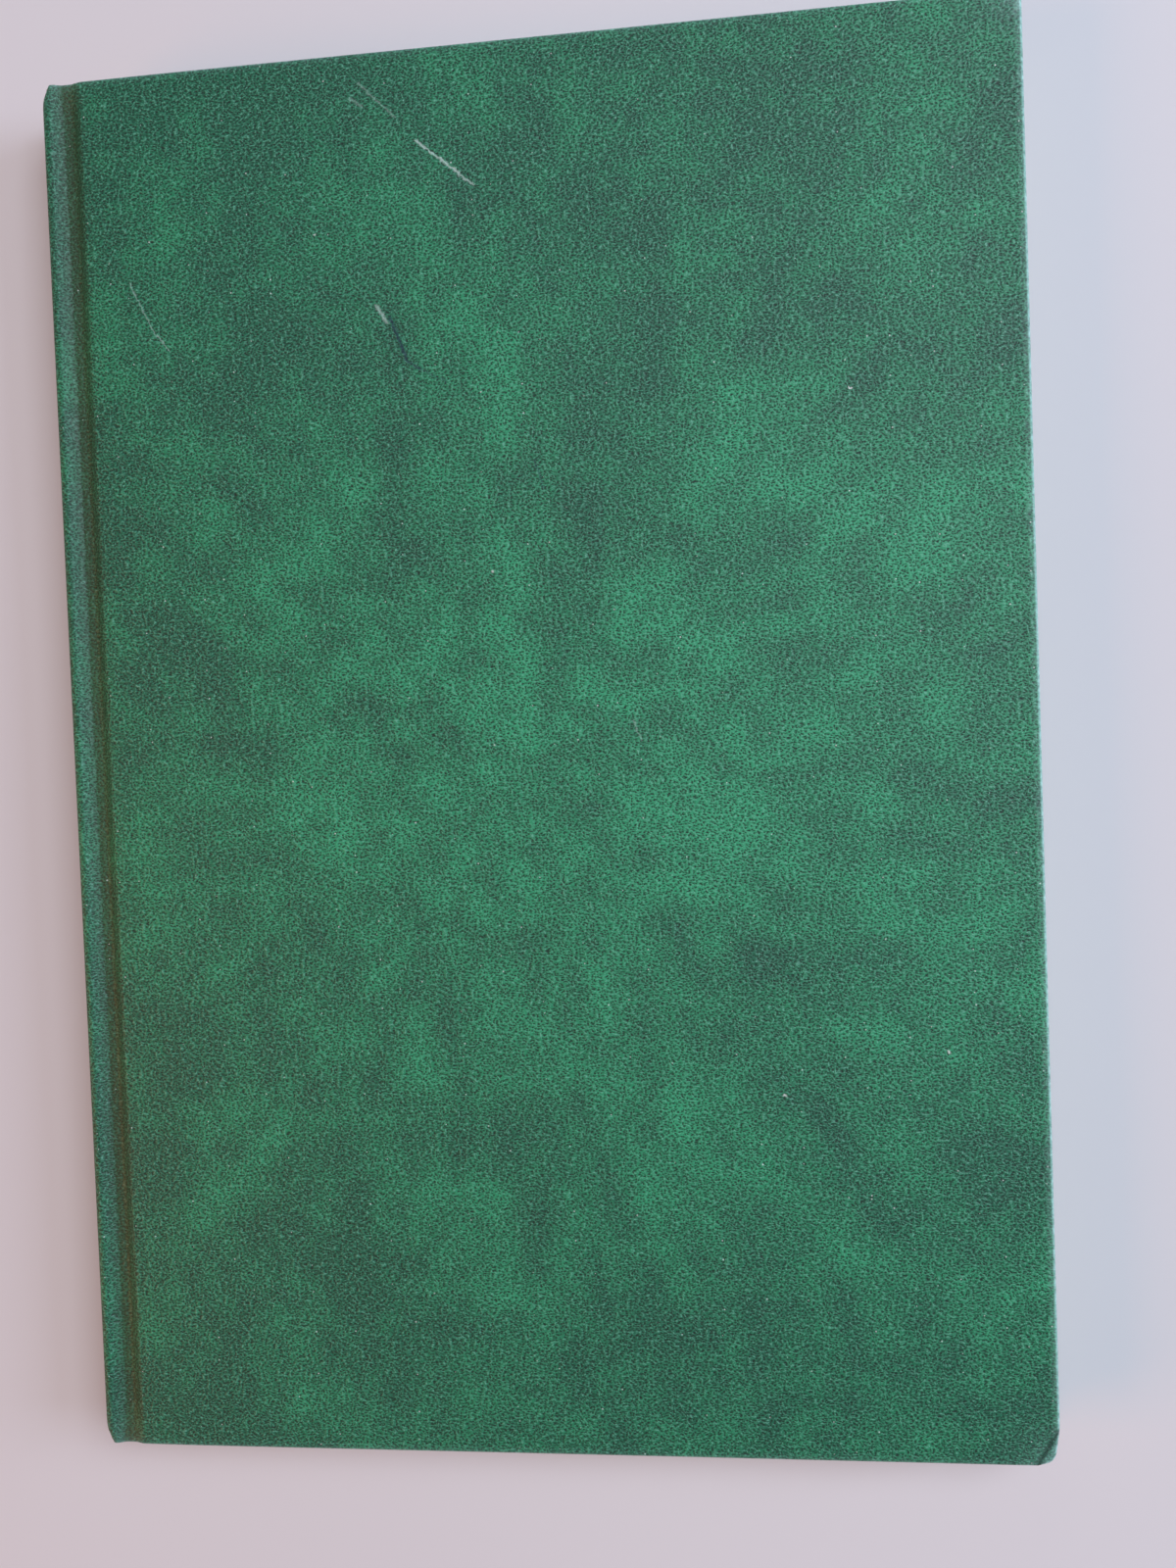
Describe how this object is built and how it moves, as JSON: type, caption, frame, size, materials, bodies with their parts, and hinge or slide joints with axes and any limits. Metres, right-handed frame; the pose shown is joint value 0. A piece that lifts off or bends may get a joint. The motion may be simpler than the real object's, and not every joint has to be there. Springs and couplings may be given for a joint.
{
  "type": "pilot logbook",
  "caption": "Case-bound logbook: leatherette-covered boards on cloth joints, a flat spine and a sewn block of ruled leaves; both covers open.",
  "frame": {"origin": "middle of the footprint of the shut book, on the outer face of the back cover", "axes": "+X from the spine to the fore edge, +Y from the tail to the head, +Z from the back cover to the front cover"},
  "size_m": [0.209, 0.303, 0.0181],
  "materials": {
    "leatherette": "embossed grain, green, satin",
    "greyboard": "raw grey millboard",
    "spine_card": "raw card",
    "endpaper": "uncoated, off-white",
    "log_paper": "uncoated, ruled in columns",
    "kraft_paper": "brown kraft",
    "mull_cotton": "open-weave cotton",
    "linen_tape": "woven linen",
    "linen_thread": "waxed linen thread",
    "headband_cloth": "woven green and white stripe"
  },
  "bodies": {
    "text_block": {"signature_1": "log_paper", "signature_2": "log_paper", "signature_3": "log_paper", "signature_4": "log_paper", "signature_5": "log_paper", "signature_6": "log_paper", "signature_7": "log_paper", "signature_8": "log_paper", "front_leaves_sewn_edge": "log_paper", "back_flyleaf_sewn_edge": "endpaper", "spine_covering": "leatherette", "spine_inlay_strip": "spine_card", "mull": "mull_cotton", "kraft_spine_lining": "kraft_paper", "headband": "headband_cloth", "tailband": "headband_cloth", "sewing_thread": "linen_thread", "front_endpaper_joint": "endpaper", "back_endpaper_joint": "endpaper", "tape_1": "linen_tape", "tape_2": "linen_tape", "tape_3": "linen_tape"},
    "front_cover": {"front_board": "greyboard", "front_covering": "leatherette", "front_mull_flange": "mull_cotton", "front_pastedown": "endpaper"},
    "back_cover": {"back_board": "greyboard", "back_covering": "leatherette", "back_mull_flange": "mull_cotton", "back_pastedown": "endpaper"},
    "front_flyleaf_gutter": {"front_flyleaf_gutter": "endpaper"},
    "front_flyleaf": {"front_flyleaf": "endpaper"},
    "log_leaf_1_gutter": {"log_leaf_1_gutter": "log_paper"},
    "log_leaf_1": {"log_leaf_1": "log_paper"},
    "log_leaf_2_gutter": {"log_leaf_2_gutter": "log_paper"},
    "log_leaf_2": {"log_leaf_2": "log_paper"},
    "back_flyleaf_gutter": {"back_flyleaf_gutter": "endpaper"},
    "back_flyleaf": {"back_flyleaf": "endpaper"}
  },
  "joints": [
    {"name": "front_cover_hinge", "type": "hinge", "parent": "text_block", "child": "front_cover", "pos_m": [-0.0985, 0, 0.0184], "axis": [0, -1, 0], "range_deg": [0, 179]},
    {"name": "back_cover_hinge", "type": "hinge", "parent": "text_block", "child": "back_cover", "pos_m": [-0.0985, 0, -0.0003], "axis": [0, 1, 0], "range_deg": [0, 179]},
    {"name": "front_flyleaf_gutter_turn", "type": "hinge", "parent": "text_block", "child": "front_flyleaf_gutter", "pos_m": [-0.094, 0, 0.01457], "axis": [0, -1, 0], "range_deg": [0, 100]},
    {"name": "front_flyleaf_turn", "type": "hinge", "parent": "front_flyleaf_gutter", "child": "front_flyleaf", "pos_m": [-0.085, 0, 0.01457], "axis": [0, -1, 0], "range_deg": [0, 78]},
    {"name": "log_leaf_1_gutter_turn", "type": "hinge", "parent": "text_block", "child": "log_leaf_1_gutter", "pos_m": [-0.0935, 0, 0.01438], "axis": [0, -1, 0], "range_deg": [0, 97]},
    {"name": "log_leaf_1_turn", "type": "hinge", "parent": "log_leaf_1_gutter", "child": "log_leaf_1", "pos_m": [-0.0839, 0, 0.01438], "axis": [0, -1, 0], "range_deg": [0, 77.5]},
    {"name": "log_leaf_2_gutter_turn", "type": "hinge", "parent": "text_block", "child": "log_leaf_2_gutter", "pos_m": [-0.093, 0, 0.01418], "axis": [0, -1, 0], "range_deg": [0, 94]},
    {"name": "log_leaf_2_turn", "type": "hinge", "parent": "log_leaf_2_gutter", "child": "log_leaf_2", "pos_m": [-0.0828, 0, 0.01418], "axis": [0, -1, 0], "range_deg": [0, 77]},
    {"name": "back_flyleaf_gutter_turn", "type": "hinge", "parent": "text_block", "child": "back_flyleaf_gutter", "pos_m": [-0.094, 0, 0.00352], "axis": [0, 1, 0], "range_deg": [0, 100]},
    {"name": "back_flyleaf_turn", "type": "hinge", "parent": "back_flyleaf_gutter", "child": "back_flyleaf", "pos_m": [-0.085, 0, 0.00352], "axis": [0, 1, 0], "range_deg": [0, 78]}
  ],
  "couplings": [
    {"joint": "front_flyleaf_gutter_turn", "follows": "front_cover_hinge", "ratio": 0.5586},
    {"joint": "front_flyleaf_turn", "follows": "front_cover_hinge", "ratio": 0.4357},
    {"joint": "log_leaf_1_gutter_turn", "follows": "front_cover_hinge", "ratio": 0.5418},
    {"joint": "log_leaf_1_turn", "follows": "front_cover_hinge", "ratio": 0.4329},
    {"joint": "log_leaf_2_gutter_turn", "follows": "front_cover_hinge", "ratio": 0.5251},
    {"joint": "log_leaf_2_turn", "follows": "front_cover_hinge", "ratio": 0.4301},
    {"joint": "back_flyleaf_gutter_turn", "follows": "back_cover_hinge", "ratio": 0.5586},
    {"joint": "back_flyleaf_turn", "follows": "back_cover_hinge", "ratio": 0.4357}
  ]
}
